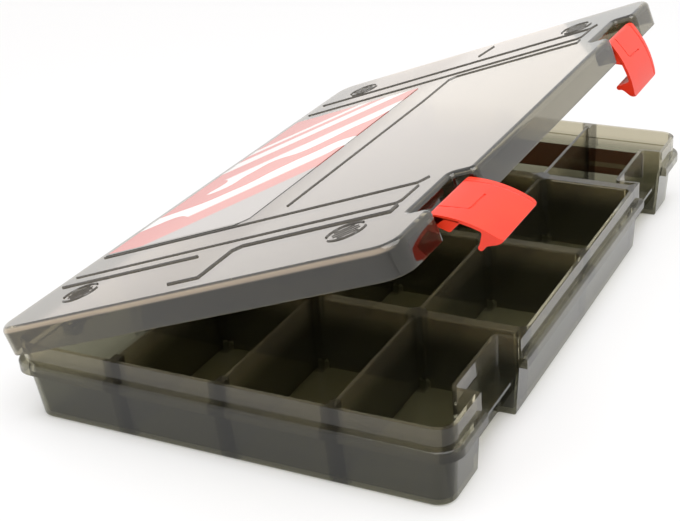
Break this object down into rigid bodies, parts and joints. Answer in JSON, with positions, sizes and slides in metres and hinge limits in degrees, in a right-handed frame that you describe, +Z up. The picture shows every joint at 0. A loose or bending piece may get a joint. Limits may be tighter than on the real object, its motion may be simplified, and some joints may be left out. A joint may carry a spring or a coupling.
{
  "type": "compartment tackle box",
  "caption": "Flat translucent compartment box with a hinged lid, front swing latches and a tray divided into cells for small tackle.",
  "frame": {"origin": "on the ground under the middle of the tray, lid ajar", "axes": "+X along the box, -Y towards the latches at the front, +Z up"},
  "size_m": [0.356, 0.2411, 0.1228],
  "materials": {
    "smoke_tray": "smoky translucent, glossy",
    "smoke_divider": "smoky translucent, glossy",
    "smoke_lid": "smoky translucent, glossy",
    "latch_orange": "satin orange-red",
    "printed_insert": "coated print",
    "printed_label": "coated print",
    "hinge_pin_steel": "drawn wire",
    "latch_pin_steel": "drawn wire"
  },
  "bodies": {
    "tray": {"base_tray": "smoke_tray", "end_label": "printed_label", "divider_near_1": "smoke_divider", "divider_second_1": "smoke_divider", "divider_third_1": "smoke_divider", "divider_far_1": "smoke_divider", "divider_near_2": "smoke_divider", "divider_second_2": "smoke_divider", "divider_third_2": "smoke_divider", "divider_far_2": "smoke_divider", "divider_near_3": "smoke_divider", "divider_second_3": "smoke_divider", "divider_third_3": "smoke_divider", "divider_far_3": "smoke_divider", "hinge_pin_near": "hinge_pin_steel", "hinge_pin_middle": "hinge_pin_steel", "hinge_pin_far": "hinge_pin_steel"},
    "lid": {"lid": "smoke_lid", "lid_insert": "printed_insert", "latch_pin_near": "latch_pin_steel", "latch_pin_far": "latch_pin_steel"},
    "latch_near": {"latch_near": "latch_orange"},
    "latch_far": {"latch_far": "latch_orange"}
  },
  "joints": [
    {"name": "lid_hinge", "type": "hinge", "parent": "tray", "child": "lid", "pos_m": [0, 0.115, 0.0252], "axis": [-1, 0, 0], "range_deg": [-20.2, 149.8]},
    {"name": "latch_near_swing", "type": "hinge", "parent": "lid", "child": "latch_near", "pos_m": [-0.118, -0.09037, 0.11675], "axis": [-1, 0, 0], "range_deg": [-56.6, 43.4]},
    {"name": "latch_far_swing", "type": "hinge", "parent": "lid", "child": "latch_far", "pos_m": [0.118, -0.09037, 0.11675], "axis": [-1, 0, 0], "range_deg": [-6.5, 93.5]}
  ]
}
